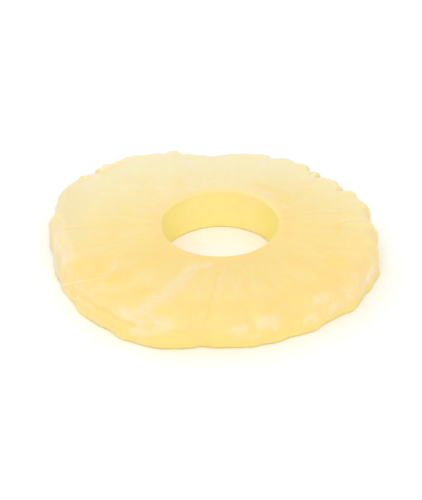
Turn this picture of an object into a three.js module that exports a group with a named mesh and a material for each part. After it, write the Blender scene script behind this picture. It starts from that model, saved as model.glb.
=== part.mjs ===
// One ring of pineapple: a slice cut straight across a peeled fruit, with its woody core punched
// out. It is a single soft piece of flesh, so it is a single solid.
//
// The fibres and the fruitlets run outwards from the core, so every shape here is worked out
// from a direction, in degrees anticlockwise from +X as seen from above, and from a reach, which
// is the distance out from the core's axis. Lengths are in millimetres and +Z is up. The ring
// lies flat on its lower cut, and its origin is under the middle of its bounding box.

import * as THREE from 'three';

// ---- Driving dimensions ----------------------------------------------------------------------

const THICKNESS = 11.7; // from cut to cut
const BORE_RADIUS = 15; // the hole that the corer leaves
const BORE_LIP = 0.7; // rounding of the hole's two edges
const MEAN_REACH = 40.1; // from the core's axis out to the peeled side
const FOOT_ROUND = 1.2; // rounding of the lower outer edge

// The upper outer edge is worn round: a little at the back and a lot at the front.
const SHOULDER_REACH = { least: 2.2, most: 5.2 }; // how far it comes in over the upper cut
const SHOULDER_DROP = { least: 2.8, most: 6.6 }; // how far it comes down the peeled side
const MOST_WORN_TOWARDS = 270;

// The fruit was neither round nor cored in its middle. Each swelling moves the peeled side out
// by its height towards its direction, and again at each of its other lobes.
const SWELLINGS = [
  { lobes: 1, height: 2.6, towards: 211 },
  { lobes: 2, height: 2.5, towards: 175 },
  { lobes: 3, height: 1.05, towards: 20 },
  { lobes: 4, height: 0.85, towards: 57 },
  { lobes: 19, height: 0.16, towards: 5 },
  { lobes: 31, height: 0.12, towards: 2 },
  { lobes: 43, height: 0.09, towards: 7 },
];

// The corer wandered a little, too.
const BORE_SWELLINGS = [
  { lobes: 2, height: 0.15, towards: 40 },
  { lobes: 5, height: 0.08, towards: 12 },
];

// Where the peeling knife ran through the gap between two fruitlets, the side steps in and then
// comes out again, and a few fruitlets stand out instead. The widths are in degrees, on the
// clockwise and on the anticlockwise side.
const NICKS = [
  { at: 5, clockwise: 3.5, anticlockwise: 3, depth: 0.8 },
  { at: 27, clockwise: 6, anticlockwise: 2.2, depth: 1.4 },
  { at: 38, clockwise: 7, anticlockwise: 7, depth: 1.5 },
  { at: 46.5, clockwise: 5, anticlockwise: 2.2, depth: 1.8 },
  { at: 66, clockwise: 5, anticlockwise: 2.2, depth: 0.5 },
  { at: 72, clockwise: 4, anticlockwise: 9, depth: -1.0 },
  { at: 97, clockwise: 10, anticlockwise: 9, depth: 1.4 },
  { at: 110, clockwise: 4, anticlockwise: 4, depth: -1.0 },
  { at: 142.5, clockwise: 2.2, anticlockwise: 6, depth: 1.9 },
  { at: 183, clockwise: 5, anticlockwise: 5, depth: 0.4 },
  { at: 209, clockwise: 3, anticlockwise: 3, depth: 0.6 },
  { at: 262, clockwise: 10, anticlockwise: 10, depth: 0.9 },
  { at: 285, clockwise: 6, anticlockwise: 6, depth: -0.8 },
  { at: 336, clockwise: 6, anticlockwise: 3, depth: 0.5 },
];

// Splits and open seams between fibres, each a straight run on the upper cut. Ends past the
// shoulder carry on down the side.
const SEAMS = [
  { from: { direction: 3, reach: 31 }, to: { direction: 4.5, reach: 46 }, depth: 0.7, half: 1.2 },
  { from: { direction: 27, reach: 29 }, to: { direction: 27, reach: 42 }, depth: 0.5, half: 1.1 },
  { from: { direction: 42, reach: 28 }, to: { direction: 46.5, reach: 42 }, depth: 0.5, half: 1.2 },
  { from: { direction: 142.5, reach: 30 }, to: { direction: 142.5, reach: 44 }, depth: 0.5, half: 1.1 },
  { from: { direction: 184.5, reach: 32 }, to: { direction: 183, reach: 45 }, depth: 0.4, half: 1.1 },
  { from: { direction: 216, reach: 30 }, to: { direction: 209, reach: 45 }, depth: 0.8, half: 1.3 },
  { from: { direction: 267, reach: 20 }, to: { direction: 266, reach: 37 }, depth: 0.6, half: 1.1 },
  { from: { direction: 279, reach: 24 }, to: { direction: 279, reach: 36 }, depth: 0.4, half: 1.1 },
];

// Shallow valleys between wedges of flesh, from the hole outwards.
const VALLEYS = [
  { lobes: 7, depth: 0.14, towards: 20 },
  { lobes: 13, depth: 0.12, towards: 9 },
  { lobes: 23, depth: 0.1, towards: 4 },
];
const VALLEYS_BEGIN = 2; // past the hole's edge
const VALLEYS_FULL = 12;

// A crease along the foot of the shoulder, where a strip of the outer flesh has come up.
const CREASE = { from: 204, to: 276, ends: 12, depth: 0.7 };

// Mesh steps.
const COLUMNS = 240; // round the ring
const FACE_STEPS = 8; // from the hole to the shoulder
const SHOULDER_STEPS = 6;

// ---- Small functions -------------------------------------------------------------------------

const { degToRad: radians, radToDeg: degrees, euclideanModulo, clamp, lerp, smoothstep } = THREE.MathUtils;

// The signed turn from one direction to another, between -180 and 180 degrees.
function turn(from, to) {
  return euclideanModulo(to - from + 180, 360) - 180;
}

// 1 in the middle of a hump, 0 from its edge outwards, smooth between.
function hump(distance, half) {
  const across = Math.min(Math.abs(distance) / half, 1);
  return (1 - across * across) ** 2;
}

function wave(direction, { lobes, towards }) {
  return Math.cos(radians(lobes * (direction - towards)));
}

function onPlan({ direction, reach }) {
  return new THREE.Vector2(reach, 0).rotateAround(new THREE.Vector2(), radians(direction));
}

function distanceToRun(point, run) {
  const start = onPlan(run.from);
  const along = onPlan(run.to).sub(start);
  const share = clamp(point.clone().sub(start).dot(along) / along.lengthSq(), 0, 1);
  return point.distanceTo(start.addScaledVector(along, share));
}

// ---- The ring's shape ------------------------------------------------------------------------

function nickDepth(direction, nick) {
  const off = turn(nick.at, direction);
  return nick.depth * hump(off, off > 0 ? nick.anticlockwise : nick.clockwise);
}

function swollen(reach, direction, swellings) {
  return swellings.reduce((sum, one) => sum + one.height * wave(direction, one), reach);
}

function rimReach(direction) {
  const plain = swollen(MEAN_REACH, direction, SWELLINGS);
  return NICKS.reduce((reach, nick) => reach - nickDepth(direction, nick), plain);
}

// How far the flesh is sunk below the clean cut at a place.
function sunk(direction, reach) {
  const point = onPlan({ direction, reach });
  const begin = BORE_RADIUS + VALLEYS_BEGIN;
  const full = BORE_RADIUS + VALLEYS_FULL;
  let depth = 0;
  for (const valley of VALLEYS) {
    depth += valley.depth * (0.5 - 0.5 * wave(direction, valley)) * smoothstep(reach, begin, full);
  }
  for (const seam of SEAMS) {
    depth += seam.depth * hump(distanceToRun(point, seam), seam.half);
  }
  return depth;
}

function creaseDepth(direction) {
  const fromStart = turn(CREASE.from, direction);
  const toEnd = turn(direction, CREASE.to);
  return CREASE.depth * smoothstep(fromStart, 0, CREASE.ends) * smoothstep(toEnd, 0, CREASE.ends);
}

// The section of the flesh in one direction, as a closed run of stations: up the hole's wall,
// out over the upper cut, round the shoulder, down the side and back under. Each station has
// the way out of the plain section there, in degrees up from level, and its share of what is
// sunk, which dies away down the side and is nothing in the hole and on the lower cut.
function section(direction) {
  const rim = rimReach(direction);
  const bore = swollen(BORE_RADIUS, direction, BORE_SWELLINGS);
  const wear = 0.5 + 0.5 * Math.cos(radians(direction - MOST_WORN_TOWARDS));
  const over = lerp(SHOULDER_REACH.least, SHOULDER_REACH.most, wear);
  const drop = lerp(SHOULDER_DROP.least, SHOULDER_DROP.most, wear);
  const side = THICKNESS - drop;
  const stations = [];
  const add = (reach, height, out, share) => stations.push({ reach, height, out, share });

  add(bore + BORE_LIP, 0, 270, 0);
  add(bore, BORE_LIP, 180, 0);
  add(bore, THICKNESS / 2, 180, 0);
  for (const out of [180, 135]) {
    const across = 1 + Math.cos(radians(out));
    const down = 1 - Math.sin(radians(out));
    add(bore + BORE_LIP * across, THICKNESS - BORE_LIP * down, out, 0);
  }
  for (let step = 0; step < FACE_STEPS; step++) {
    add(lerp(bore + BORE_LIP, rim - over, step / FACE_STEPS), THICKNESS, 90, 1);
  }
  for (let step = 0; step < SHOULDER_STEPS; step++) {
    const angle = radians(lerp(90, 0, step / SHOULDER_STEPS));
    const reach = rim - over * (1 - Math.cos(angle));
    const height = THICKNESS - drop * (1 - Math.sin(angle));
    const out = degrees(Math.atan2(Math.sin(angle) / drop, Math.cos(angle) / over));
    add(reach, height, out, 1);
  }
  add(rim - creaseDepth(direction), side, 0, 1);
  for (const height of [(side + FOOT_ROUND) / 2, FOOT_ROUND]) {
    add(rim, height, 0, height / side);
  }
  const chamfer = FOOT_ROUND * (1 - Math.SQRT1_2);
  add(rim - chamfer, chamfer, 315, chamfer / side);
  add(rim - FOOT_ROUND, 0, 270, 0);
  return stations;
}

function placeOf(direction, station) {
  const depth = station.share * sunk(direction, station.reach);
  const reach = station.reach - depth * Math.cos(radians(station.out));
  const height = station.height - depth * Math.sin(radians(station.out));
  const { x, y } = onPlan({ direction, reach });
  return [x, y, height];
}

// A closed skin through the stations of every column, with its faces pointing out.
function ringGeometry() {
  const positions = [];
  const indices = [];
  const count = section(0).length;
  for (let column = 0; column < COLUMNS; column++) {
    const direction = (360 * column) / COLUMNS;
    for (const station of section(direction)) {
      positions.push(...placeOf(direction, station));
    }
    for (let row = 0; row < count; row++) {
      const here = column * count;
      const next = ((column + 1) % COLUMNS) * count;
      const above = (row + 1) % count;
      indices.push(here + row, here + above, next + row);
      indices.push(here + above, next + above, next + row);
    }
  }
  const geometry = new THREE.BufferGeometry();
  geometry.setAttribute('position', new THREE.Float32BufferAttribute(positions, 3));
  geometry.setIndex(indices);
  return geometry;
}

// ---- The part --------------------------------------------------------------------------------

function pineappleRing() {
  const geometry = ringGeometry();
  geometry.computeBoundingBox();
  const middle = geometry.boundingBox.getCenter(new THREE.Vector3());
  geometry.translate(-middle.x, -middle.y, 0);
  geometry.computeVertexNormals();
  const flesh = new THREE.MeshStandardMaterial({ color: 0xfbe39a, roughness: 0.45, metalness: 0 });
  const ring = new THREE.Mesh(geometry, flesh);
  ring.name = 'pineapple_ring';
  return ring;
}

const part = new THREE.Group();
part.add(pineappleRing());

export default part;
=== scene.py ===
import math
from functools import partial

import bpy
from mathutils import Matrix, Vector


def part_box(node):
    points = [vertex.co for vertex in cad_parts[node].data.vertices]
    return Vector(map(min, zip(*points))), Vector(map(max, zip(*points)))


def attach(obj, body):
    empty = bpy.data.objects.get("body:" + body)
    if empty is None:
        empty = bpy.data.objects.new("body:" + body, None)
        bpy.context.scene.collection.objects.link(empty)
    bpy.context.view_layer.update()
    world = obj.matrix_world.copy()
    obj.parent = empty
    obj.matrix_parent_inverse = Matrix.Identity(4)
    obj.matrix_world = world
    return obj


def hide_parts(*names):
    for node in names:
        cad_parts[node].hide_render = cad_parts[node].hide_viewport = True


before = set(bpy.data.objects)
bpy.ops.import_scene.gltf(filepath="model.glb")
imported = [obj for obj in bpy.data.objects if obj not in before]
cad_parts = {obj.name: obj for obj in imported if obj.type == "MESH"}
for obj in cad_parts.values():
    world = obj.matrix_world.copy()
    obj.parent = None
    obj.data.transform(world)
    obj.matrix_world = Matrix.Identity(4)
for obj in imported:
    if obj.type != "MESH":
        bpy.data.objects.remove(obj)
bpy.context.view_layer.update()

# ---- The camera ------------------------------------------------------------------------------
# A long lens on a stand, a little over half a metre away, looks down on the ring at about 35
# degrees, square to its worn front edge.

EYE_MM = (-0.65, -444.1, 312.5)
AIM_MM = (-0.4, 0.0, 4.2)
LENS_MM = 151.0
SENSOR_MM = 36.0  # of the picture's long side
NEAR_M = 0.01
FAR_M = 20

camera_data = bpy.data.cameras.new("camera")
camera_data.sensor_width = SENSOR_MM
camera_data.lens = LENS_MM
camera_data.clip_start = NEAR_M
camera_data.clip_end = FAR_M
camera = bpy.data.objects.new("camera", camera_data)
camera.location = Vector(EYE_MM) / 1000
sight = Vector(AIM_MM) - Vector(EYE_MM)
camera.rotation_euler = sight.to_track_quat("-Z", "Y").to_euler()
bpy.context.scene.collection.objects.link(camera)
bpy.context.scene.camera = camera

# ---- The ring of flesh -----------------------------------------------------------------------
# One slice cut straight across a peeled pineapple, its woody core punched out, kept in syrup. The
# knife leaves two flat cuts, the corer a round hole off the middle, and the peeler a side nicked
# between fruitlets. The upper outer edge is worn round, most of all in front.

NODE = "pineapple_ring"
lowest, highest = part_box(NODE)

# Every size here is in millimetres.
THICKNESS = round(1000 * (highest[2] - lowest[2]), 2)  # from cut to cut
HOLE_RADIUS = 15.0
HOLE_LIP = 0.7  # rounding of the hole's upper edge
HOLE_FOOT = 0.05  # and of its lower edge, which is all but sharp
MEAN_REACH = 40.1  # from the core's axis out to the peeled side
FOOT_ROUND = 0.7  # rounding of the lower outer edge
SHOULDER_REACH = (2.2, 5.2)  # how far the worn edge comes in: at the back, and in front
SHOULDER_DROP = (2.8, 6.6)  # and how far it comes down the side
CORE_AXIS = (1.968, 1.797)  # the hole is off the ring's middle
COLUMNS = 700  # round the ring
ROWS = 140  # round its section

# Each swelling (lobes, height, towards) moves the side out by its height towards its direction.
# Directions are in degrees, anticlockwise from +X as seen from above.
SWELLINGS = (
    (1, 2.6, 211), (2, 2.5, 175), (3, 1.05, 20), (4, 0.85, 57),
    (19, 0.16, 5), (31, 0.12, 2), (43, 0.09, 7),
)
HOLE_SWELLINGS = ((2, 0.15, 40), (5, 0.08, 12))

# Each nick (at, clockwise width, anticlockwise width, depth), with its widths in degrees, is a
# gap between two fruitlets that the peeler ran through. Where the depth is negative, a fruitlet
# stands out instead.
NICKS = (
    (-0.5, 2.2, 1, -0.7), (5.8, 3.2, 3.5, 1.1), (10, 3, 3, 0.35), (14.3, 4, 4, -0.9), (20.5, 2, 3, 0.2),
    (25.6, 1.4, 4.1, 2), (29, 5.5, 4.5, 1), (32, 3, 2, 0.55), (34, 1, 1, -0.3), (36.8, 1, 0.9, -0.4),
    (38, 7, 7, 1.5), (40.5, 3, 2, 1.2), (41, 2.4, 3, 1.6), (47.3, 5, 2.5, 1.8), (52.5, 3.5, 2.5, -1.1),
    (60.5, 8, 5, -0.7), (66, 5, 2.2, 0.5), (68.3, 2.2, 4, -0.95), (71, 1, 1, -0.3), (72, 4, 9, -1),
    (78, 4, 4, -0.6), (83, 2.6, 2.6, 0.35), (87, 10, 6, -0.4), (88.3, 2.4, 2.2, 0.25), (93, 2.5, 2, 0.35),
    (95.5, 1, 1, 0.3), (97, 10, 9, 1.4), (96.6, 2.4, 2, -0.35), (99, 1.6, 1.6, -0.25), (103, 4, 3.5, -0.6),
    (106, 1.5, 1.2, 0.3), (108.3, 1.4, 6.5, -1.75), (111.3, 1.4, 1.4, -0.25), (115.5, 2.5, 2, 0.2),
    (118.2, 1, 0.8, 0.2), (124, 1.8, 1.6, -0.45), (127, 5.5, 4, -1), (134.5, 4, 2.2, 0.45),
    (137, 1.2, 0.9, -0.6), (140.3, 3, 2, 0.4), (142.9, 2.2, 5.3, 2.2), (144.3, 1, 1, -0.5),
    (146, 1, 1, -0.4), (148, 1.4, 1, -0.4), (149.3, 1.2, 1.5, 0.7), (155, 4, 3, -0.25), (159.5, 6, 6, -0.8),
    (174.2, 1.6, 1.8, -0.3), (179, 5, 7, 0.6), (196, 4, 3, 0.4), (209, 3, 3, 0.6), (262, 10, 10, 0.9),
    (285, 6, 6, -0.8), (336, 6, 3, 0.35), (352, 12, 8, -0.3),
)

# Each inset of the foot, with its widths as above, is how far the side leans in from the worn
# edge down to there. Where it is negative, the side leans out.
FOOT_INSETS = (
    (-9, 10, 10, -0.55), (-0.5, 3, 2, 0.8), (229, 12, 8, 0.8), (256, 13, 14, 0.8), (270, 11, 9, 1.25),
    (285, 5, 5, 0.7), (315, 9, 10, 0.9),
)

# Round the back, the narrow nicks are less deep at the foot than under the upper cut.
BACK = 94  # the direction of its middle
BACK_HALF_TURN = 62  # and how far it goes, to each side
BACK_BLEND = 14
NARROW = 8  # both widths of a nick together
SHALLOW_AT_FOOT = 0.7  # the share of its depth that it loses

# Each seam on the cut (from direction and reach, to direction and reach, depth, half width) is
# an open gap between fibres. A split is the same, but its torn edges show white.
SEAMS = (
    (27, 34, 27, 42, 0.12, 0.7), (44.5, 33, 46.5, 42, 0.15, 0.7), (142.5, 38, 142.5, 46, 0.15, 0.7),
    (184.5, 33, 183, 45, 0.12, 0.5), (268, 22, 267, 30, 0.06, 0.7), (267, 30, 265, 38, 0.1, 1),
    (280, 23, 278.5, 29, 0.06, 0.6),
)
SPLITS = (
    (0, 31, 4.5, 46, 0.3, 0.7), (219.8, 37.4, 217.6, 39.6, 0.15, 0.6), (217.6, 39.6, 215, 40.9, 0.2, 0.65),
    (215, 40.9, 213.5, 41.6, 0.2, 0.65),
)
SPLITS_OF_SIDE = (
    (215, 10.3, 210.7, 8.3, 0.2, 0.7), (210.7, 8.3, 207, 6, 0.25, 0.7), (207, 6, 201, 2.8, 0.25, 0.7),
    (201, 2.8, 197.5, 1.1, 0.2, 0.6),
)

# Each crease of the side (from direction and height, to direction and height, depth, half
# width) runs under a strip of outer flesh that has come up.
CREASES = (
    (215, 5.4, 220, 6, 0.2, 0.9), (220, 6, 228, 6.4, 0.3, 1.1), (228, 6.4, 236, 6.1, 0.25, 1.1),
    (236, 6.1, 240, 5.6, 0.1, 0.8), (251.5, 6.2, 257.5, 6, 0.08, 0.8),
)

# Each pale run of the cut or of the side (from direction and reach or height, to direction and
# reach or height, half width, strength) is flesh bleached or bruised white under its surface.
PALE_ON_CUT = (
    (261, 19, 252, 20, 1.8, 0.6), (252, 20, 248.5, 28, 2.8, 0.6), (248.5, 28, 246.5, 36, 3.8, 0.55),
    (245, 36, 242, 40, 3.4, 0.7), (270.5, 24, 269, 34, 1.2, 0.25), (279, 24, 277, 31, 0.9, 0.3),
    (139, 19, 115, 16.5, 1.6, 0.2), (115, 16.5, 58, 17.5, 1.6, 0.45), (58, 17.5, 46, 18, 1.5, 0.5),
    (122, 36, 132, 38, 3.2, 0.6), (108, 31, 103, 28, 3, 0.6), (67, 28, 66, 32, 3, 0.5),
    (41, 32, 40, 34.5, 1.4, 0.8), (186, 32, 185, 39, 0.6, 0.5), (169, 36, 167, 31, 0.6, 0.5),
    (158.5, 32, 155.5, 26, 0.6, 0.5), (205, 35, 201.5, 31.5, 0.8, 0.6), (213.5, 31.5, 216, 33.5, 1, 0.6),
    (217, 33, 220, 37, 0.9, 0.7), (202, 40.4, 187, 40.4, 2, 0.35), (228, 38.6, 220.5, 41, 2.2, 0.35),
    (13, 35, 17, 37, 2, 0.5), (325, 37, 340, 37.5, 3, 0.22), (146, 40, 155, 39.6, 2.4, 0.9),
)
PALE_ON_SIDE = (
    (235.5, 8, 251, 7.5, 3, 0.75), (238, 7.5, 242, 7.1, 2.2, 0.8), (247.5, 7.6, 251, 7.5, 2, 0.8),
    (248, 6.2, 239.5, 3.2, 2.2, 0.7), (221, 5, 212, 3.9, 1.8, 0.4), (196, 8, 197.5, 3, 2.2, 0.6),
    (284, 7.6, 290, 6.9, 2.2, 0.8), (289, 6.4, 290.5, 4.6, 1.2, 0.6), (274, 6, 279, 6.1, 1.6, 0.65),
    (276, 4.4, 283, 3.2, 1.4, 0.55), (212, 8.5, 224, 8.7, 2.4, 0.1), (304.5, 5, 307, 4.8, 1.6, 0.6),
    (308, 9, 312, 8.6, 1.9, 0.6), (314.5, 5.4, 318, 4.4, 1.4, 0.6), (327, 9.8, 330, 9.5, 1.2, 0.5),
    (322, 5.6, 326, 3.4, 1.1, 0.5), (342, 8.6, 338, 4.4, 1.3, 0.8), (338, 4.4, 331, 3.6, 1.7, 0.8),
    (315, 3.4, 313, 1.7, 0.8, 0.5), (184, 9.5, 200, 9.3, 2.6, 0.7), (190, 7, 193, 3.2, 1.4, 0.9),
    (193, 3.2, 201, 1.8, 1.3, 0.9), (201, 1.8, 214, 1.8, 1.2, 0.5), (214, 1.8, 229, 1.6, 1.1, 0.35),
    (229, 1.6, 238, 0.6, 1.1, 0.35),
)

# Each ripe run of the cut, as above, is yellower than the flesh round it.
RIPE_ON_CUT = (
    (238, 35, 238, 36, 2.4, 0.35), (226.5, 20, 222, 38, 5, 0.5), (318, 26, 326, 36, 5, 0.45),
    (120, 21, 118, 24, 2, 0.4), (350.5, 30, 357, 30.5, 1.2, 0.6), (335, 26, 340, 35, 0.6, 0.6),
    (331, 30, 335.5, 36, 0.6, 0.6), (30, 21, 58, 20, 4.5, 0.4), (13, 17, 7, 35, 0.7, 0.5),
    (131, 38, 137, 39, 0.5, 0.7), (137, 39, 154, 41.5, 0.5, 0.7), (139, 32, 133, 26, 3.4, 0.12),
    (54, 24, 33, 27, 4, 0.2), (157, 19, 153, 17, 2.6, 0.2),
)

# Each crumbly run of the side, as above, has cut fibre ends that stand up as white specks.
CRUMBLY_ON_SIDE = (
    (305, 8.8, 315, 8.4, 2.6, 0.5), (302, 4.4, 321, 4, 3, 0.55), (320, 7.4, 333, 5.6, 3.6, 0.6),
    (333, 5.4, 347, 4.6, 3.6, 0.8), (200, 8, 236, 8, 3, 0.3),
)

# Shallow valleys (lobes, depth, towards) between wedges of flesh.
VALLEYS = ((7, 0.14, 20), (13, 0.12, 9), (23, 0.1, 4))


def swollen(reach, direction, swellings):
    """A reach with every swelling added in one direction."""
    for lobes, height, towards in swellings:
        reach += height * math.cos(math.radians(lobes * (direction - towards)))
    return reach


def nick_depth(direction, at, clockwise, anticlockwise, depth):
    """How far one nick moves the side in."""
    off = (direction - at + 180) % 360 - 180
    across = min(abs(off) / (anticlockwise if off > 0 else clockwise), 1)
    return depth * (1 - across * across) ** 2


def on_plan(direction, reach):
    """The place of a direction and a reach, from the core's axis."""
    turned = math.radians(direction)
    return Vector((reach * math.cos(turned), reach * math.sin(turned), 0))


def on_side(direction, height):
    """The place of a direction and a height, with the side rolled out flat."""
    return Vector((math.radians(direction) * MEAN_REACH, height, 0))


# The outline is the line that the peeler ran along, one point for each column. Its points lie
# flat, and their third number is the inset of the foot.
outline = bpy.data.curves.new("outline of the peeled fruit", "CURVE")
outline.dimensions = "3D"
spline = outline.splines.new("POLY")
spline.points.add(COLUMNS - 1)
spline.use_cyclic_u = True
for column in range(COLUMNS):
    direction = 360 * column / COLUMNS
    reach = swollen(MEAN_REACH, direction, SWELLINGS)
    reach -= sum(nick_depth(direction, *nick) for nick in NICKS)
    inset = sum(nick_depth(direction, *leaning) for leaning in FOOT_INSETS)
    at_back = min(max((BACK_HALF_TURN - abs(direction - BACK)) / BACK_BLEND, 0), 1)
    narrow = sum(nick_depth(direction, *nick) for nick in NICKS if nick[1] + nick[2] < NARROW)
    inset -= SHALLOW_AT_FOOT * at_back * narrow
    spline.points[column].co = (*on_plan(direction, reach).xy, inset, 1)
slice_object = bpy.data.objects.new("slice", outline)
bpy.context.scene.collection.objects.link(slice_object)


def add_node(tree, kind, inputs=(), **settings):
    """Adds a node to a tree, with its settings, its values and what is linked to it."""
    node = tree.nodes.new(kind)
    for name, value in settings.items():
        setattr(node, name, value)
    for key, value in inputs.items() if isinstance(inputs, dict) else enumerate(inputs):
        if isinstance(value, bpy.types.Node):
            value = value.outputs[0]
        if isinstance(value, bpy.types.NodeSocket):
            tree.links.new(value, node.inputs[key])
        else:
            node.inputs[key].default_value = value
    return node


MATH = "ShaderNodeMath"
VECTOR_MATH = "ShaderNodeVectorMath"
MAP_RANGE = "ShaderNodeMapRange"
NOISE = "ShaderNodeTexNoise"
SMOOTH = "SMOOTHSTEP"


def linear(colour):
    """An sRGB hex colour as the linear values that a shader takes."""
    parts = [int(colour[at:at + 2], 16) / 255 for at in (0, 2, 4)]
    return [p / 12.92 if p <= 0.04045 else ((p + 0.055) / 1.055) ** 2.4 for p in parts] + [1.0]


WANDER_LENGTH = 13.0  # how far a fibre runs between two bends
WANDER = 0.16  # and how far it bends


def wandering(add, place, way):
    """The way that fibres run out from the core at a place, a little unevenly."""
    drift = add(NOISE, {"Vector": place, "Scale": 1 / WANDER_LENGTH, "Detail": 1.0}).outputs["Color"]
    drift = add(VECTOR_MATH, (drift, (0.5, 0.5, 0.5)), operation="SUBTRACT")
    drift = add(VECTOR_MATH, {0: drift, "Scale": WANDER}, operation="SCALE")
    return add(VECTOR_MATH, (way, drift), operation="ADD")


def bundles(add, way, run, across, length, detail):
    """Noise in bundles of fibre: how many across one radian, and how long they are."""
    along = add("ShaderNodeCombineXYZ", (0.0, 0.0, add(MATH, (run, length), operation="DIVIDE")))
    spread = add(VECTOR_MATH, {0: way, "Scale": float(across)}, operation="SCALE")
    source = add(VECTOR_MATH, (spread, along), operation="ADD")
    cloud = add(NOISE, {"Vector": source, "Scale": 1.0, "Detail": detail, "Roughness": 0.55})
    return cloud.outputs["Fac"]


# Canned pineapple flesh, cut with a wet knife. The juice in it lets light in a few millimetres,
# so it glows pale yellow and has no hard shade, and its wet cut has a wide soft sheen.
flesh_look = bpy.data.materials.new("canned_fruit_flesh_wet_cut")
flesh_look.use_nodes = True
flesh_look.node_tree.nodes.clear()
lay = partial(add_node, flesh_look.node_tree)

# Where the material is, in millimetres from the core's axis. The run is the way out from the
# core and on down the side, which the fibres follow.
axis_shift = (-CORE_AXIS[0], -CORE_AXIS[1], 0.0)
spot = lay("ShaderNodeMapping", {"Vector": lay("ShaderNodeTexCoord").outputs["Object"],
                                 "Location": axis_shift, "Scale": (1000.0, 1000.0, 1000.0)})
spot_x, spot_y, spot_z = lay("ShaderNodeSeparateXYZ", (spot,)).outputs
to_side = lay(MATH, (spot_x,), operation="ABSOLUTE")
to_back = lay(VECTOR_MATH, (spot, (-0.06, 1.0, 0.0)), operation="DOT_PRODUCT").outputs["Value"]
flat_spot = lay(VECTOR_MATH, (spot, (1.0, 1.0, 0.0)), operation="MULTIPLY")
spot_reach = lay(VECTOR_MATH, (flat_spot,), operation="LENGTH").outputs["Value"]
spot_way = lay(VECTOR_MATH, (flat_spot,), operation="NORMALIZE")
spot_run = lay(MATH, (spot_reach, spot_z), operation="SUBTRACT")
strands = partial(bundles, lay, wandering(lay, spot, spot_way), spot_run)

# The marks are left on the mesh, further down. Blotches are about 3 mm across and clouds 8 mm.
# The specks are fibre ends, about 0.8 mm across and 2 mm from end to end.
marks = {name: lay("ShaderNodeAttribute", attribute_name=name).outputs["Fac"]
         for name in ("gap", "split", "crease", "pale", "ripe", "crumbly", "wall", "rim_back", "shoulder")}
blotches = lay(NOISE, {"Vector": spot, "Scale": 1 / 3, "Detail": 4.0, "Roughness": 0.6}).outputs["Fac"]
clouds = lay(NOISE, {"Vector": spot, "Scale": 1 / 8, "Detail": 2.0}).outputs["Fac"]
fibre_ends = lay(VECTOR_MATH, (spot, (1.0, 1.0, 0.4)), operation="MULTIPLY")
specks = lay(NOISE, {"Vector": fibre_ends, "Scale": 1.2, "Detail": 2.0}).outputs["Fac"]

# Colours, one over another. Each is laid on as far as its mark says, and its spans too: a span
# (value, zero at, full at, most) grows smoothly from nothing at one value to its most at another.
tone = linear("F1D586")
for colour, mark, spans in (
    ("F1D88D", 1.0, ((strands(4, 30, 2.5), 0.3, 0.7, 1.0),)),  # wedges of flesh
    ("F2DDA2", 1.0, ((clouds, 0.45, 0.7, 0.45),)),  # paler clouds
    ("F2DDA2", 1.0, ((strands(9, 20, 2.5), 0.4, 0.75, 0.5),)),  # bundles of fibre
    ("F2E0A9", 1.0, ((strands(26, 9, 2.5), 0.4, 0.8, 0.55),)),  # single fibres
    ("EDD389", 1.0, ((spot_reach, 34.0, 18.0, 0.8), (spot_y, -4.0, -18.0, 1.0))),  # in front of the hole
    ("EFD085", 1.0, ((spot_reach, 21.0, 15.5, 0.5),)),  # woodier flesh close to the core
    ("EFDFA8", 1.0, ((spot_reach, 26.0, 38.0, 0.7), (spot_y, -18.0, 2.0, 1.0))),  # paler to both sides
    ("EDE4BC", 1.0, ((to_back, -7.0, 35.0, 0.85),)),  # palest at the back: painted light, the sheen and the light through the thin back edge
    ("F1EACB", 1.0, ((to_back, -5.0, 15.0, 1.0), (blotches, 0.5, 0.7, 0.3))),  # and that painted light in blotches there
    ("F2D57E", 1.0, ((spot_reach, 29.0, 36.0, 0.5), (spot_y, -8.0, -22.0, 1.0))),  # ripest in front
    ("F2D48C", marks["shoulder"], ()),  # painted shade on the worn edge in front, against the front lamp's light
    ("F2D690", 1.0, ((spot_z, 10.5, 8.0, 0.7),)),  # the worn edge all round
    ("EED69E", 1.0, ((spot_reach, 16.4, 15.5, 0.8), (spot_y, 2.0, 10.0, 1.0))),  # painted shade on the hole's far lip, against the light it catches
    ("F3D889", 1.0, ((spot_z, 7.5, 3.5, 1.0),)),  # the side
    ("F5DC8A", 1.0, ((spot_z, 3.0, 0.5, 0.5),)),  # the foot
    ("E6D6AA", 1.0, ((spot_x, -32.0, -42.0, 0.7), (spot_y, -20.0, -10.0, 1.0))),  # painted shade on the left end
    ("EFD293", marks["rim_back"], ()),  # the thin edge of the cut at the back
    ("FFE9A2", marks["wall"], ()),  # the hole's wall, painted light: lighter than the cut against the shade in the hole
    ("FFE28E", marks["wall"], ((blotches, 0.4, 0.7, 0.5),)),  # its riper blotches
    ("FFE88C", marks["wall"], ((to_side, 8.0, 14.0, 1.0),)),  # painted shade on its two sides, a deeper yellow where they stand in shade
    ("FFE1AA", marks["wall"], ((spot_z, 9.0, 11.5, 0.6),)),  # and painted shade on its top, against the light its lip catches
    ("F3D37A", marks["ripe"], ()),
    # Painted shade in the open seams between fibres.
    ("F2CF72", 1.0, ((marks["gap"], 0.2, 1.0, 0.3),)),
    # Painted shade in the creases, under the strips of outer flesh that have come up.
    ("F4CE64", 1.0, ((marks["crease"], 0.1, 0.9, 0.4),)),
    ("F2E0C6", marks["pale"], ((blotches, 0.2, 0.7, 1.0),)),
    ("F2E1C6", marks["crumbly"], ((specks, 0.35, 0.75, 1.0),)),
    ("F7ECD4", 1.0, ((marks["split"], 0.6, 1.0, 0.55),)),
):
    share = mark
    for value, zero_at, full_at, most in spans:
        span = lay(MAP_RANGE, (value, zero_at, full_at, 0.0, most), interpolation_type=SMOOTH)
        share = lay(MATH, (share, span), operation="MULTIPLY")
    tone = lay("ShaderNodeMix", {0: share, 6: tone, 7: linear(colour)}, data_type="RGBA").outputs[2]

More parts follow.
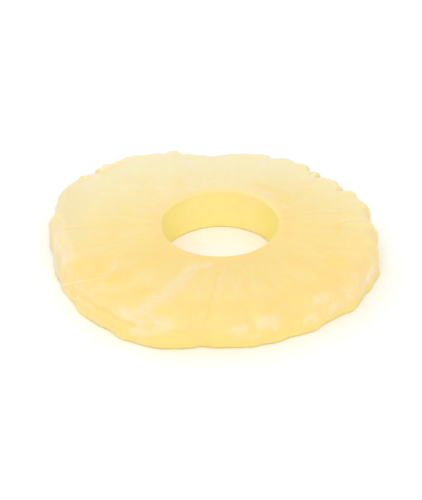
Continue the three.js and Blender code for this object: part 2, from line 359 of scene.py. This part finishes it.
# The wet cut is a little rough, with a grain of about half a millimetre. Red light goes 2.8 mm
# into the flesh, green 2.1 and blue 0.8, and a fifth of that in the hole's wall.
grain = lay(NOISE, {"Vector": spot, "Scale": 1 / 0.5, "Detail": 2.0}).outputs["Fac"]
bumps = lay("ShaderNodeBump", {"Height": grain, "Strength": 0.25, "Distance": 0.0001})
light_depth = lay(MATH, (marks["wall"], -0.0008, 0.001), operation="MULTIPLY_ADD")
skin_look = lay("ShaderNodeBsdfPrincipled", {
    "Base Color": tone, "Roughness": 0.42, "IOR": 1.36, "Normal": bumps,
    "Subsurface Weight": 0.85, "Subsurface Radius": (2.8, 2.1, 0.8), "Subsurface Scale": light_depth,
})
lay("ShaderNodeOutputMaterial", {"Surface": skin_look})

# The skin of the ring: its section swept round the outline, then carved.
sweep = bpy.data.node_groups.new("ring swept round the core", "GeometryNodeTree")
sweep.interface.new_socket("Outline", in_out="INPUT", socket_type="NodeSocketGeometry")
sweep.interface.new_socket("Ring", in_out="OUTPUT", socket_type="NodeSocketGeometry")
SIZES = {
    "Thickness": THICKNESS,
    "Hole radius": HOLE_RADIUS,
    "Hole lip": HOLE_LIP,
    "Hole foot": HOLE_FOOT,
    "Foot round": FOOT_ROUND,
    "Least shoulder reach": SHOULDER_REACH[0],
    "Most shoulder reach": SHOULDER_REACH[1],
    "Least shoulder drop": SHOULDER_DROP[0],
    "Most shoulder drop": SHOULDER_DROP[1],
    "Fibre relief": 0.14,
    "Wedge relief": 0.28,
    "Swell relief": 0.3,
    "Crumb relief": 0.3,
    "Scallop relief": 0.35,
    "Corer streak relief": 0.12,
}
size_ids = {}
for name, value in SIZES.items():
    socket = sweep.interface.new_socket(name, in_out="INPUT", socket_type="NodeSocketFloat")
    socket.default_value = value
    size_ids[name] = socket.identifier
given = sweep.nodes.new("NodeGroupInput").outputs
put = partial(add_node, sweep)

# The plain section: a rectangle with four rounded corners, its lower inner corner at zero.
PLAIN_WIDTH = MEAN_REACH - HOLE_RADIUS
PLAIN_SHOULDER = 3.0
CORNER_POINTS = 12
LOWER_CUT = (0.535, 0.874)  # where it starts and ends along the section
STATIONS_BEFORE = 0.72  # the share of the stations that come before the lower cut
STATIONS_PAST = 0.8  # and the share that comes before its end
rectangle = put("GeometryNodeCurvePrimitiveQuadrilateral",
                {"Width": PLAIN_WIDTH, "Height": given["Thickness"]}, mode="RECTANGLE")
corner = put("ShaderNodeSeparateXYZ", (put("GeometryNodeInputPosition"),))
outer = put(MATH, (corner.outputs["X"], 0.0), operation="GREATER_THAN")
upper = put(MATH, (corner.outputs["Y"], 0.0), operation="GREATER_THAN")
inner_round = put(MAP_RANGE, (upper, 0.0, 1.0, given["Hole foot"], given["Hole lip"]))
outer_round = put(MAP_RANGE, (upper, 0.0, 1.0, given["Foot round"], PLAIN_SHOULDER))
corner_round = put(MAP_RANGE, (outer, 0.0, 1.0, inner_round, outer_round))
rounded = put("GeometryNodeFilletCurve",
              {"Curve": rectangle, "Radius": corner_round, "Count": CORNER_POINTS}, mode="POLY")
# The lower cut is flat and lies on the table, so it is given few of the stations.
stations = put("GeometryNodeResampleCurve", {"Curve": rounded, "Count": ROWS}, mode="COUNT")
even_share = put(MATH, (put("GeometryNodeInputIndex"), float(ROWS)), operation="DIVIDE")
share_before = put(MAP_RANGE, (even_share, 0.0, STATIONS_BEFORE, 0.0, LOWER_CUT[0]))
share_below = put(
    MAP_RANGE, (even_share, STATIONS_BEFORE, STATIONS_PAST, 0.0, LOWER_CUT[1] - LOWER_CUT[0]))
share_past = put(MAP_RANGE, (even_share, STATIONS_PAST, 1.0, 0.0, 1 - LOWER_CUT[1]))
along_section = put(MATH, (share_before, share_below), operation="ADD")
along_section = put(MATH, (along_section, share_past), operation="ADD")
station_place = put("GeometryNodeSampleCurve", {"Curves": rounded, "Factor": along_section}, mode="FACTOR")
station_place = station_place.outputs["Position"]
stations = put("GeometryNodeSetPosition", {"Geometry": stations, "Position": station_place})
half_height = put(MATH, (given["Thickness"], 0.5), operation="MULTIPLY")
to_corner = put("ShaderNodeCombineXYZ", (PLAIN_WIDTH / 2, half_height, 0.0))
plain_place = put(VECTOR_MATH, (put("GeometryNodeInputPosition"), to_corner), operation="ADD")

section = sweep.nodes.new("GeometryNodeCaptureAttribute")
section.capture_items.new("VECTOR", "Plain place")
sweep.links.new(stations.outputs[0], section.inputs[0])
sweep.links.new(plain_place.outputs[0], section.inputs[1])
path = sweep.nodes.new("GeometryNodeCaptureAttribute")
path.capture_items.new("VECTOR", "Outline place")
sweep.links.new(given["Outline"], path.inputs[0])
sweep.links.new(put("GeometryNodeInputPosition").outputs[0], path.inputs[1])
inside_out = put("GeometryNodeCurveToMesh", {"Curve": path, "Profile Curve": section})
skin = put("GeometryNodeFlipFaces", {"Mesh": inside_out})

# Where each point of the skin is round the core: its direction and the reach of the rim there.
foot_inset = put("ShaderNodeSeparateXYZ", (path.outputs[1],)).outputs["Z"]
rim_place = put(VECTOR_MATH, (path.outputs[1], (1.0, 1.0, 0.0)), operation="MULTIPLY")
rim = put(VECTOR_MATH, (rim_place,), operation="LENGTH").outputs["Value"]
way = put(VECTOR_MATH, (rim_place,), operation="NORMALIZE")
way_parts = put("ShaderNodeSeparateXYZ", (way,))
angle = put(MATH, (way_parts.outputs["Y"], way_parts.outputs["X"]), operation="ARCTAN2")


def waves(swellings, start):
    """The sum of some swellings, as nodes, from a starting value."""
    total = start
    for lobes, height, towards in swellings:
        phase = -math.radians(lobes * towards)
        turned = put(MATH, (angle, float(lobes), phase), operation="MULTIPLY_ADD")
        swell = put(MATH, (turned,), operation="COSINE")
        total = put(MATH, (swell, height, total), operation="MULTIPLY_ADD")
    return total


hole = waves(HOLE_SWELLINGS, given["Hole radius"])
wear = put(MAP_RANGE, (way_parts.outputs["Y"], 1.0, -1.0, 0.0, 1.0))
over = put(MAP_RANGE, (wear, 0.0, 1.0, given["Least shoulder reach"], given["Most shoulder reach"]))
drop = put(MAP_RANGE, (wear, 0.0, 1.0, given["Least shoulder drop"], given["Most shoulder drop"]))

# The section stretched to fit between the hole and the rim, corner by corner: first its height.
plain = put("ShaderNodeSeparateXYZ", (section.outputs[1],))
plain_in, plain_up = plain.outputs["X"], plain.outputs["Y"]
plain_side = put(MATH, (given["Thickness"], PLAIN_SHOULDER), operation="SUBTRACT")
side = put(MATH, (given["Thickness"], drop), operation="SUBTRACT")
low = put(MATH, (plain_up, given["Foot round"]), operation="SUBTRACT")
low = put(MATH, (low, 0.0), operation="MINIMUM")
high = put(MATH, (plain_up, plain_side), operation="SUBTRACT")
high = put(MATH, (high, 0.0), operation="MAXIMUM")
high = put(MATH, (high, put(MATH, (drop, PLAIN_SHOULDER), operation="DIVIDE")), operation="MULTIPLY")
middle = put(MAP_RANGE, (plain_up, given["Foot round"], plain_side, given["Foot round"], side))
outer_up = put(MATH, (put(MATH, (middle, low), operation="ADD"), high), operation="ADD")
is_outer = put(MATH, (plain_in, PLAIN_WIDTH / 2), operation="GREATER_THAN")
height = put(MAP_RANGE, (is_outer, 0.0, 1.0, plain_up, outer_up))

# Then its reach, between the hole and the side, which leans in by the inset down to the foot.
above_foot = put(MATH, (outer_up, side), operation="DIVIDE", use_clamp=True)
lean = put(MATH, (put(MATH, (1.0, above_foot), operation="SUBTRACT"), foot_inset), operation="MULTIPLY")
rim_here = put(MATH, (rim, lean), operation="SUBTRACT")
on_top = put(MATH, (plain_up, half_height), operation="GREATER_THAN")
plain_edge = put(MAP_RANGE, (on_top, 0.0, 1.0, given["Foot round"], PLAIN_SHOULDER))
edge = put(MAP_RANGE, (on_top, 0.0, 1.0, given["Foot round"], over))
flat_from = put(MATH, (hole, given["Hole lip"]), operation="ADD")
flat_to = put(MATH, (rim_here, edge), operation="SUBTRACT")
plain_to = put(MATH, (PLAIN_WIDTH, plain_edge), operation="SUBTRACT")
flat = put(MAP_RANGE, (plain_in, given["Hole lip"], plain_to, flat_from, flat_to))
inside = put(MATH, (plain_in, given["Hole lip"]), operation="SUBTRACT")
inside = put(MATH, (inside, 0.0), operation="MINIMUM")
beyond = put(MATH, (plain_in, plain_to), operation="SUBTRACT")
beyond = put(MATH, (beyond, 0.0), operation="MAXIMUM")
beyond = put(MATH, (beyond, put(MATH, (edge, plain_edge), operation="DIVIDE")), operation="MULTIPLY")
reach = put(MATH, (put(MATH, (flat, inside), operation="ADD"), beyond), operation="ADD")

plan_place = put(VECTOR_MATH, {0: way, "Scale": reach}, operation="SCALE")
rise = put("ShaderNodeCombineXYZ", (0.0, 0.0, height))
place = put(VECTOR_MATH, (plan_place, rise), operation="ADD")
shaped = put("GeometryNodeSetPosition", {"Geometry": skin, "Position": place})

# Where relief shows: all of it on the upper cut and the shoulder, less and less down the side,
# none in the hole or on the lower cut.
RELIEF_FROM = 2.2  # how far it starts from the hole
VALLEYS_FULL = 12.0  # and how far out the valleys are at their deepest
down_side = put(MATH, (height, side), operation="DIVIDE", use_clamp=True)
down_side = put(MATH, (down_side, 2.0), operation="POWER")
flat_start = put(MATH, (hole, RELIEF_FROM), operation="ADD")
past_lip = put(MAP_RANGE, (reach, flat_from, flat_start, 0.0, 1.0), interpolation_type=SMOOTH)
share = put(MATH, (down_side, past_lip), operation="MULTIPLY")


def near_run(here, start, end, half):
    """1 along a straight run, 0 from its half width outwards, smooth between."""
    along = end - start
    gone = put(VECTOR_MATH, (here, start), operation="SUBTRACT")
    part = put(VECTOR_MATH, (gone, along), operation="DOT_PRODUCT").outputs["Value"]
    part = put(MATH, (part, 1 / along.length_squared), operation="MULTIPLY", use_clamp=True)
    nearest = put(VECTOR_MATH, {0: along, "Scale": part}, operation="SCALE")
    off = put(VECTOR_MATH, (gone, nearest), operation="DISTANCE").outputs["Value"]
    return put(MAP_RANGE, (off, 0.0, half, 1.0, 0.0), interpolation_type=SMOOTH)


run = put(MATH, (reach, height), operation="SUBTRACT")
fibres = partial(bundles, put, wandering(put, place, way), run)

valley_rise = put(MATH, (hole, VALLEYS_FULL), operation="ADD")
valley_share = put(MAP_RANGE, (reach, flat_start, valley_rise, 0.0, 1.0), interpolation_type=SMOOTH)
deepest = sum(depth for lobes, depth, towards in VALLEYS) / 2
valleys = waves([(lobes, -depth / 2, towards) for lobes, depth, towards in VALLEYS], deepest)
valleys = put(MATH, (valleys, valley_share), operation="MULTIPLY")

# Where each point is on the cut and on the side rolled out flat, and the same a little off, so
# that most marks are uneven. Splits are clean tears, and take the place as it is.
JOG_LENGTH = 3.5
JOG = 1.5
jog = put(NOISE, {"Vector": place, "Scale": 1 / JOG_LENGTH, "Detail": 2.0}).outputs["Color"]
jog = put(VECTOR_MATH, (jog, (0.5, 0.5, 0.5)), operation="SUBTRACT")
jog = put(VECTOR_MATH, (jog, (JOG, JOG, 0.0)), operation="MULTIPLY")
cut_spot = put(VECTOR_MATH, (plan_place, jog), operation="ADD")
turned = put(MATH, (angle, 2 * math.pi, 0.0), operation="WRAP")
round_side = put(MATH, (turned, MEAN_REACH), operation="MULTIPLY")
rolled_out = put("ShaderNodeCombineXYZ", (round_side, height, 0.0))
side_spot = put(VECTOR_MATH, (rolled_out, jog), operation="ADD")

# Crumbs and scallops grow over the last of the cut, and the side's marks start at its edge.
RIM_WIDTH = 5.0  # these three are how far in from the rim
SIDE_FROM = 3.0
SIDE_FULL = 1.5
rim_zone = put(MATH, (rim, RIM_WIDTH), operation="SUBTRACT")
at_rim = put(MAP_RANGE, (reach, rim_zone, rim, 0.15, 1.0), interpolation_type=SMOOTH)
side_from = put(MATH, (rim, SIDE_FROM), operation="SUBTRACT")
side_full = put(MATH, (rim, SIDE_FULL), operation="SUBTRACT")
on_outside = put(MAP_RANGE, (reach, side_from, side_full, 0.0, 1.0), interpolation_type=SMOOTH)

# Each mark is carried to the material by an attribute of its name, and some sink the flesh too.
sunk = valleys
carried = {}
for name, marks_here, spot_here, spot_of, where in (
    ("gap", SEAMS, cut_spot, on_plan, 1.0),
    ("split", SPLITS, plan_place, on_plan, 1.0),
    ("split", SPLITS_OF_SIDE, rolled_out, on_side, on_outside),
    ("crease", CREASES, side_spot, on_side, on_outside),
):
    deepest = 0.0
    for from_direction, from_far, to_direction, to_far, depth, half in marks_here:
        near = near_run(spot_here, spot_of(from_direction, from_far), spot_of(to_direction, to_far), half)
        near = put(MATH, (near, where), operation="MULTIPLY")
        carried[name] = put(MATH, (carried.get(name, 0.0), near), operation="MAXIMUM")
        sink = put(MATH, (near, depth), operation="MULTIPLY")
        deepest = put(MATH, (deepest, sink), operation="MAXIMUM")
    sunk = put(MATH, (sunk, deepest), operation="ADD")
for name, marks_here, spot_here, spot_of, where in (
    ("pale", PALE_ON_CUT, cut_spot, on_plan, past_lip),
    ("pale", PALE_ON_SIDE, side_spot, on_side, on_outside),
    ("ripe", RIPE_ON_CUT, cut_spot, on_plan, past_lip),
    ("crumbly", CRUMBLY_ON_SIDE, side_spot, on_side, on_outside),
):
    for from_direction, from_far, to_direction, to_far, half, strength in marks_here:
        near = near_run(spot_here, spot_of(from_direction, from_far), spot_of(to_direction, to_far), half)
        near = put(MATH, (near, where), operation="MULTIPLY")
        near = put(MATH, (near, strength), operation="MULTIPLY")
        carried[name] = put(MATH, (carried.get(name, 0.0), near), operation="MAXIMUM")

# The hole's wall, the thin edge of the cut at the back and the worn edge in front are carried too. The
# wall's mask carries painted light, and the worn edge's mask carries painted shade.
WALL_DEPTH = 0.06
BACK_EDGE = (1.9, 1.2)  # how far in from the rim it starts, and is full
WORN_EDGE = (1.0, 1.2)  # how far before the shoulder it starts, and how far past that it is full
carried["wall"] = put(MAP_RANGE, (plain_in, WALL_DEPTH, 0.0, 0.0, 1.0))
back_from = put(MATH, (rim, BACK_EDGE[0]), operation="SUBTRACT")
back_full = put(MATH, (rim, BACK_EDGE[1]), operation="SUBTRACT")
back_edge = put(MAP_RANGE, (reach, back_from, back_full, 0.0, 0.5), interpolation_type=SMOOTH)
facing_back = put(MAP_RANGE, (way_parts.outputs["Y"], 0.0, 0.5, 0.0, 1.0))
carried["rim_back"] = put(MATH, (back_edge, facing_back), operation="MULTIPLY")
worn_from = put(MATH, (flat_to, WORN_EDGE[0]), operation="SUBTRACT")
worn_full = put(MATH, (flat_to, WORN_EDGE[1]), operation="ADD")
worn = put(MAP_RANGE, (reach, worn_from, worn_full, 0.0, 1.0), interpolation_type=SMOOTH)
facing_front = put(MAP_RANGE, (way_parts.outputs["Y"], -0.2, -0.6, 0.0, 1.0))
carried["shoulder"] = put(MATH, (worn, facing_front), operation="MULTIPLY")

# Fibres and soft swells are everywhere. The shoulder and the side are rougher than the cut, with
# crumbs of flesh about 1.7 mm across and scallops of about 4.5 mm.
swells = put(NOISE, {"Vector": place, "Scale": 1 / 9, "Detail": 2.0, "Roughness": 0.55}).outputs["Fac"]
crumbs = put(NOISE, {"Vector": place, "Scale": 1 / 1.7, "Detail": 3.0, "Roughness": 0.55}).outputs["Fac"]
scallops = put(NOISE, {"Vector": place, "Scale": 1 / 4.5, "Detail": 1.0, "Roughness": 0.55}).outputs["Fac"]
for relief, amount, zone_here in (
    (fibres(26, 9, 2.0), "Fibre relief", 1.0),
    (fibres(7, 22, 2.0), "Wedge relief", 1.0),
    (swells, "Swell relief", 1.0),
    (crumbs, "Crumb relief", at_rim),
    (scallops, "Scallop relief", at_rim),
):
    relief = put(MATH, (relief, 0.5), operation="SUBTRACT")
    relief = put(MATH, (relief, given[amount]), operation="MULTIPLY")
    sunk = put(MATH, (relief, zone_here, sunk), operation="MULTIPLY_ADD")
sunk = put(MATH, (sunk, share), operation="MULTIPLY")

# The corer leaves faint upright streaks in the hole.
HOLE_PART = 2.0  # of the plain section, from the wall outwards
by_hole = put(MATH, (plain_in, HOLE_PART), operation="LESS_THAN")
in_hole = put(MATH, (1.0, past_lip), operation="SUBTRACT")
in_hole = put(MATH, (in_hole, by_hole), operation="MULTIPLY")
streaks = put(MATH, (fibres(16, 20, 1.0), 0.5), operation="SUBTRACT")
streaks = put(MATH, (streaks, in_hole), operation="MULTIPLY")
sunk = put(MATH, (streaks, given["Corer streak relief"], sunk), operation="MULTIPLY_ADD")

inward = put(MATH, (sunk, -1.0), operation="MULTIPLY")
push = put(VECTOR_MATH, {0: put("GeometryNodeInputNormal"), "Scale": inward}, operation="SCALE")
carved = put("GeometryNodeSetPosition", {"Geometry": shaped, "Offset": push})
for name, value in carried.items():
    carved = put("GeometryNodeStoreNamedAttribute", {"Geometry": carved, "Name": name, "Value": value},
                 data_type="FLOAT", domain="POINT")

ring_out = sweep.nodes.new("NodeGroupOutput")
to_metres = put("GeometryNodeTransform",
                {"Geometry": carved,
                 "Translation": (CORE_AXIS[0] / 1000, CORE_AXIS[1] / 1000, 0.0),
                 "Scale": (0.001, 0.001, 0.001)})
realized = put("GeometryNodeRealizeInstances", {"Geometry": to_metres})
smooth = put("GeometryNodeSetShadeSmooth", {"Geometry": realized, "Shade Smooth": True})
dressed = put("GeometryNodeSetMaterial", {"Geometry": smooth, "Material": flesh_look})
sweep.links.new(dressed.outputs[0], ring_out.inputs[0])

modifier = slice_object.modifiers.new("ring", "NODES")
modifier.node_group = sweep
for name, value in SIZES.items():
    modifier[size_ids[name]] = value

bpy.context.view_layer.update()
depsgraph = bpy.context.evaluated_depsgraph_get()
flesh_mesh = bpy.data.meshes.new_from_object(slice_object.evaluated_get(depsgraph))
bpy.data.objects.remove(slice_object)
flesh = bpy.data.objects.new("ring_flesh", flesh_mesh)
bpy.context.scene.collection.objects.link(flesh)

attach(flesh, "root")
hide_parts(NODE)

# ---- The studio --------------------------------------------------------------------------------
# A white table under a white tent, with a wide soft box above it, behind and to the left, and
# another in front.

TENT_STRENGTH = 0.837
world = bpy.data.worlds.new("studio tent")
world.use_nodes = True
tent = world.node_tree.nodes["Background"]
tent.inputs["Color"].default_value = linear("FFFFFF")
tent.inputs["Strength"].default_value = TENT_STRENGTH
bpy.context.scene.world = world
bpy.context.scene.view_settings.view_transform = "Standard"

for name, place_m, size_m, watts in (
    ("soft_box_above", (-0.6, 0.7, 0.9), 1.0, 2.4),
    ("soft_box_in_front", (0.0, -1.0, 0.87), 1.0, 6.1),
):
    lamp = bpy.data.lights.new(name, "AREA")
    lamp.shape = "SQUARE"
    lamp.size = size_m
    lamp.energy = watts
    box = bpy.data.objects.new(name, lamp)
    box.location = place_m
    box.rotation_euler = (-Vector(place_m)).to_track_quat("-Z", "Y").to_euler()
    bpy.context.scene.collection.objects.link(box)

FLOOR_HALF = 2.0  # these two are in metres
FLOOR_Z = -0.00005  # just under the lower cut, so that the two don't share a plane
floor_mesh = bpy.data.meshes.new("floor")
floor_mesh.from_pydata(
    [(x * FLOOR_HALF, y * FLOOR_HALF, FLOOR_Z) for x, y in ((-1, -1), (1, -1), (1, 1), (-1, 1))],
    [], [(0, 1, 2, 3)])
floor = bpy.data.objects.new("floor", floor_mesh)
bpy.context.scene.collection.objects.link(floor)
# Matt white paper has no sheen, and leaves a faint soft shadow round the foot of the ring.
paper = bpy.data.materials.new("matt_white_paper")
paper.use_nodes = True
paper_inputs = paper.node_tree.nodes["Principled BSDF"].inputs
paper_inputs["Base Color"].default_value = linear("FCFCFC")
paper_inputs["Roughness"].default_value = 0.9
floor_mesh.materials.append(paper)
